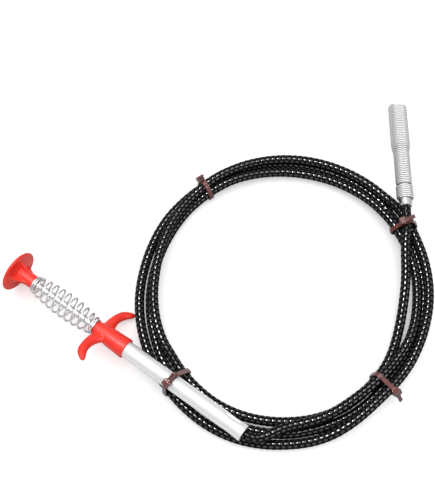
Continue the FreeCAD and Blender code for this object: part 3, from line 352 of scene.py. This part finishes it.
# -------------------------------------------------------------------- hose
# Black covering with a diamond relief: eight rows of small raised lozenges,
# neighbouring rows half a pitch apart.
step = 0.48
around = 48
line = cubic(STATIONS, step)
rows = len(line)
along = np.r_[0, np.cumsum(np.linalg.norm(np.diff(line, axis=0), axis=1))]
ang = np.linspace(0, 2 * math.pi, around, endpoint=False)
PITCH = 3.85
slow = 0.10 * np.sin(along / 61.0) + 0.08 * np.sin(along / 23.0 + 1.3)
_, line_u, line_v = transport(line)
EYE = np.array([-1.027, -239.760, 575.534])
LAMP = np.array([-220.0, 100.0, 950.0])
to_eye = EYE - line
to_lamp = LAMP - line
crest = (to_eye / np.linalg.norm(to_eye, axis=1)[:, None]
         + to_lamp / np.linalg.norm(to_lamp, axis=1)[:, None])
turn = np.arctan2((line_v * crest).sum(1), (line_u * crest).sum(1)) + slow / 4.0
ca = np.cos(2 * math.pi * along[:, None] / PITCH)
ct = np.cos(4.0 * (ang[None, :] - turn[:, None]))
relief = np.maximum(((1 + ca) / 2) ** 0.6 * ((1 + ct) / 2) ** 3.6,
                    ((1 - ca) / 2) ** 0.6 * ((1 - ct) / 2) ** 3.6)
relief = np.clip((relief - 0.12) / 0.60, 0.0, 1.0)
relief = relief * relief * (3.0 - 2.0 * relief)
R_LOW, R_HIGH = 3.09, 3.30
radii = R_LOW + (R_HIGH - R_LOW) * relief
near_end = np.minimum(along, along[-1] - along)[:, None]
radii = np.where(near_end < 1.0, np.minimum(radii, 3.1), radii)
hose = sweep("hose_cover", line, radii, M_HOSE)
att = hose.data.attributes.new("relief", "FLOAT", "POINT")
att.data.foreach_set("value", relief.reshape(-1).astype(np.float32))
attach(hose, ROOT)
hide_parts("hose_jacket")


# ----------------------------------------------------------------- springs
def helix(origin, ax, ay, az, xs, rs, turns_at, name, wire_r, mat, around=10):
    """Wire along a helix: xs, rs and angle arrays give the centre line."""
    c, s = np.cos(turns_at), np.sin(turns_at)
    path = (origin + np.outer(xs, ax) + np.outer(rs * c, ay) + np.outer(rs * s, az))
    n = len(path)
    rad = np.full((n, around), wire_r)
    # the cut ends are slightly rounded
    rad[0] *= 0.75
    rad[-1] *= 0.75
    return sweep(name, path, rad, mat)


def close_wound(name, x0, x1, radius_at, pitch, wire_r, start=0.0, from_end=False):
    turns = (x1 - x0 - 2 * wire_r) / pitch
    n = int(turns * (36)) + 1
    k = np.linspace(0, turns, n)
    xs = x0 + wire_r + k * pitch
    rs = np.array([radius_at(x) for x in xs])
    a = start + 2 * math.pi * (k - (turns if from_end else 0.0))
    return helix(HEAD_O, HEAD_X, HEAD_Y, HEAD_Z, xs, rs, a, name, wire_r, M_COIL,
                 12)


WIRE = 0.60


def neck_radius(x):
    base = 5.70 - WIRE - 0.01
    wide = 6.70 - WIRE - 0.01
    f = min(1.0, max(0.0, (x - 43.6) / 6.4))
    f = f * f * (3 - 2 * f)
    r = base + (wide - base) * f
    # the last coil at the mouth closes in a little
    return r - 0.30 * max(0.0, (x - 82.6) / 1.8) ** 1.5


head = close_wound("head_spring_wire", 17.0, 84.4, neck_radius, 1.50, WIRE, 0.25)
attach(head, ROOT)
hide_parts("head_spring")
base = close_wound("head_base_spring_wire", 5.3, 16.9, lambda x: 5.90 - WIRE - 0.01, 1.50, WIRE,
                   0.10, True)
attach(base, ROOT)
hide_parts("head_base_spring")

# return spring round the plunger rod
wire = 1.25
x0 = 16.1 + wire / 2 + 0.02
x1 = 66.4 - wire / 2 - 0.02
r_end, r_mid = (12.0 - wire) / 2, (17.6 - wire) / 2
active, turns, closed = 8.8, 10.8, wire * 1.04
n = int(turns * (40)) + 1
k = np.linspace(0, turns, n)
xs = np.where(k < 1.0, x0 + closed * k,
              np.where(k > turns - 1.0, x1 - closed * (turns - k),
                       x0 + closed + (x1 - x0 - 2 * closed) * (k - 1.0) / active))
w = np.clip((xs - x0) / (x1 - x0), 0, 1)
rs = r_end + (r_mid - r_end) * np.sin(math.pi * w) ** 0.7
spring = helix(HANDLE_O, HANDLE_X, HANDLE_Y, HANDLE_Z, xs, rs, 2 * math.pi * k,
               "return_spring_wire", wire / 2, M_WIRE, 12)
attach(spring, ROOT)
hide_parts("return_spring")
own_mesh(spring)


# -------------------------------------------------------------------- claw
# Each finger is one bent steel strip: straight root, long arm, inward hook.
def strip(k):
    ang = math.radians(45.0 + 90.0 * k)
    er = HEAD_Y * math.cos(ang) + HEAD_Z * math.sin(ang)
    et = np.cross(HEAD_X, er)
    reach = 57.3 + 26.0 - 1.0 * k
    half_t = 0.30
    xs_line = [(x, 1.7, 1.0) for x in np.linspace(49.98, reach - 1.3, 46)]
    bend = 1.0
    cx, cr = reach - 0.3 - bend, 1.7 - bend
    for q in np.linspace(0.12, 1.0, 9):
        a = math.pi / 2 * (1 - q)
        xs_line.append((cx + bend * math.cos(a), cr + bend * math.sin(a), 1.0))
    for q in np.linspace(0.25, 1.0, 5):
        xs_line.append((reach - 0.3, (1.7 - bend) + (-1.0 - (1.7 - bend)) * q, 1.0 - 0.32 * q))
    p = np.array(xs_line)
    d = np.gradient(p[:, :2], axis=0)
    d /= np.linalg.norm(d, axis=1)[:, None]
    nrm = np.stack([-d[:, 1], d[:, 0]], 1)
    verts, faces = [], []
    prof = [(-1, -0.62), (-0.9, -1), (0.9, -1), (1, -0.62), (1, 0.62), (0.9, 1),
            (-0.9, 1), (-1, 0.62)]
    for (x, r, wd), nv in zip(p, nrm):
        half_w = 1.0 * wd
        for a, b in prof:
            q = (HEAD_O + HEAD_X * (x + nv[0] * half_t * b)
                 + er * (r + nv[1] * half_t * b) + et * (half_w * a))
            verts.append(q * MM)
    m = len(prof)
    for i in range(len(p) - 1):
        for j in range(m):
            j2 = (j + 1) % m
            faces.append((i * m + j, i * m + j2, (i + 1) * m + j2, (i + 1) * m + j))
    faces.append(tuple(range(m))[::-1])
    faces.append(tuple((len(p) - 1) * m + j for j in range(m)))
    ob = mesh_object("claw_strip_%d" % (k + 1), verts, faces, M_CLAW, smooth=False)
    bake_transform(ob)
    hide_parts("claw_finger_%d" % (k + 1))
    return ob


strips = [strip(k) for k in range(4)]

# thin disc the strips stand on
rings, seg = [], 32
prof = [(49.34, 0.0), (49.34, 2.15), (49.45, 2.28), (49.85, 2.28), (49.96, 2.15), (49.96, 0.0)]
verts, faces = [], []
for x, r in prof:
    for q in range(seg):
        a = 2 * math.pi * q / seg
        verts.append((HEAD_O + HEAD_X * x + (HEAD_Y * math.cos(a) + HEAD_Z * math.sin(a)) * max(r, 0.02)) * MM)
for i in range(len(prof) - 1):
    for q in range(seg):
        q2 = (q + 1) % seg
        faces.append((i * seg + q, i * seg + q2, (i + 1) * seg + q2, (i + 1) * seg + q))
disc = mesh_object("claw_strip_base", verts, faces, M_CLAW, smooth=False)
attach(disc, "claw_carrier")
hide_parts("claw_strip_roots")


# -------------------------------------------------------------- CAD pieces
def dress(name, mat, voxel=None, smooth=0, passes=0.5):
    ob = nodes[name]
    if ob.material_slots:
        for slot in ob.material_slots:
            slot.material = mat
    else:
        ob.data.materials.append(mat)
    if voxel:
        m = ob.modifiers.new("skin", "REMESH")
        m.mode = "VOXEL"
        m.voxel_size = voxel * MM
        m.use_smooth_shade = True
        if smooth:
            s = ob.modifiers.new("soften", "SMOOTH")
            s.factor = passes
            s.iterations = smooth
    return ob


dress("button_cap", M_RED, 0.19, 16)
dress("finger_grip", M_RED, 0.26, 14)
for k in range(4):
    dress("cable_tie_%d" % (k + 1), M_TIE, 0.16, 4)
for name in ("plunger_rod", "spring_seat_rear", "spring_seat_front", "head_ferrule"):
    dress(name, M_CHROME)
dress("handle_tube", M_TUBE)
for name in ("rod_stop_collar", "hose_core_spring", "inner_cable", "cable_tail",
             "claw_crimp_sleeve", "claw_cable_end"):
    dress(name, M_CORE)

# ------------------------------------------------------------------- stage
floor_me = bpy.data.meshes.new("floor")
floor_me.from_pydata([(-3, -3, 0), (3, -3, 0), (3, 3, 0), (-3, 3, 0)], [], [(0, 1, 2, 3)])
floor = bpy.data.objects.new("floor", floor_me)
bpy.context.collection.objects.link(floor)
fm = Nodes("floor_white")
fm.set(Roughness=0.6)
fm.bsdf.inputs["Specular IOR Level"].default_value = 0.15
# A light table: the camera sees it lit from below as well, while the rays it
# sends back to the object are those of a duller sheet.
lp = fm.add("ShaderNodeLightPath")
fm.link(fm.mix(lp.outputs["Is Camera Ray"], (0.70, 0.70, 0.70), (0.93, 0.93, 0.93)),
        fm.bsdf.inputs["Base Color"])
fm.bsdf.inputs["Emission Color"].default_value = (1, 1, 1, 1)
glow = fm.add("ShaderNodeMath", operation="MULTIPLY")
glow.inputs[1].default_value = 0.34
fm.link(lp.outputs["Is Camera Ray"], glow.inputs[0])
fm.link(glow.outputs[0], fm.bsdf.inputs["Emission Strength"])
floor_me.materials.append(fm.mat)

# Studio surround: bright overhead, dim toward the horizon.
world = bpy.data.worlds.new("studio")
bpy.context.scene.world = world
world.use_nodes = True
wt = world.node_tree
bg = wt.nodes["Background"]
tc = wt.nodes.new("ShaderNodeTexCoord")
sep = wt.nodes.new("ShaderNodeSeparateXYZ")
wt.links.new(tc.outputs["Generated"], sep.inputs[0])
wr = wt.nodes.new("ShaderNodeValToRGB")
wr.color_ramp.interpolation = "EASE"
wr.color_ramp.elements[0].position = 0.02
wr.color_ramp.elements[0].color = (0.30, 0.30, 0.30, 1)
wr.color_ramp.elements[1].position = 0.62
wr.color_ramp.elements[1].color = (0.68, 0.68, 0.68, 1)
wt.links.new(sep.outputs["Z"], wr.inputs[0])
wt.links.new(wr.outputs["Color"], bg.inputs["Color"])
bg.inputs["Strength"].default_value = 1.0


def area(name, loc, target, size, power):
    li = bpy.data.lights.new(name, "AREA")
    li.shape = "RECTANGLE"
    li.size, li.size_y = size
    li.energy = power
    ob = bpy.data.objects.new(name, li)
    bpy.context.collection.objects.link(ob)
    ob.location = loc
    d = Vector(target) - Vector(loc)
    ob.rotation_euler = d.to_track_quat("-Z", "Y").to_euler()
    return ob


area("soft", (-0.25, 0.15, 1.25), (0, 0, 0), (1.6, 1.6), 8.2)
area("fill", (0.80, -0.40, 0.55), (0, 0, 0), (0.5, 0.4), 2.2)
key = area("key", tuple(LAMP * MM), (0, 0, 0), (0.16, 0.16), 13.0)
sheen = area("sheen", (-0.25, 0.15, 1.25), (0, 0, 0), (1.6, 1.6), 9.0)
mould = area("mould", (-0.30, 0.05, 0.90), (0, 0, 0), (0.12, 0.12), 2.6)


def only(light, name, things):
    """Limit a light to the given objects."""
    group = bpy.data.collections.new(name)
    for thing in things:
        group.objects.link(thing)
    light.light_linking.receiver_collection = group


# The small key light puts the sparkle on the hose and ties, a second one
# shapes the mouldings; bright metal is lit by the soft light and surround.
only(key, "key_receivers", [hose] + [nodes["cable_tie_%d" % (k + 1)] for k in range(4)])
only(sheen, "sheen_receivers", [nodes["handle_tube"], nodes["head_ferrule"], head, base])
only(mould, "mould_receivers", [nodes["button_cap"], nodes["finger_grip"]])

# ------------------------------------------------------------------ camera
cam_data = bpy.data.cameras.new("camera")
cam = bpy.data.objects.new("camera", cam_data)
bpy.context.collection.objects.link(cam)
tilt = math.radians(24.0)
cam.location = Vector(EYE) * MM
cam.rotation_euler = (tilt, 0.0, 0.0)
cam_data.sensor_fit = "VERTICAL"
cam_data.sensor_height = 36.0
cam_data.sensor_width = 36.0
cam_data.lens = 900.0 / 495.0 * 36.0
cam_data.clip_start = 0.01
cam_data.clip_end = 20.0
bpy.context.scene.camera = cam
bpy.context.scene.view_settings.view_transform = "Standard"

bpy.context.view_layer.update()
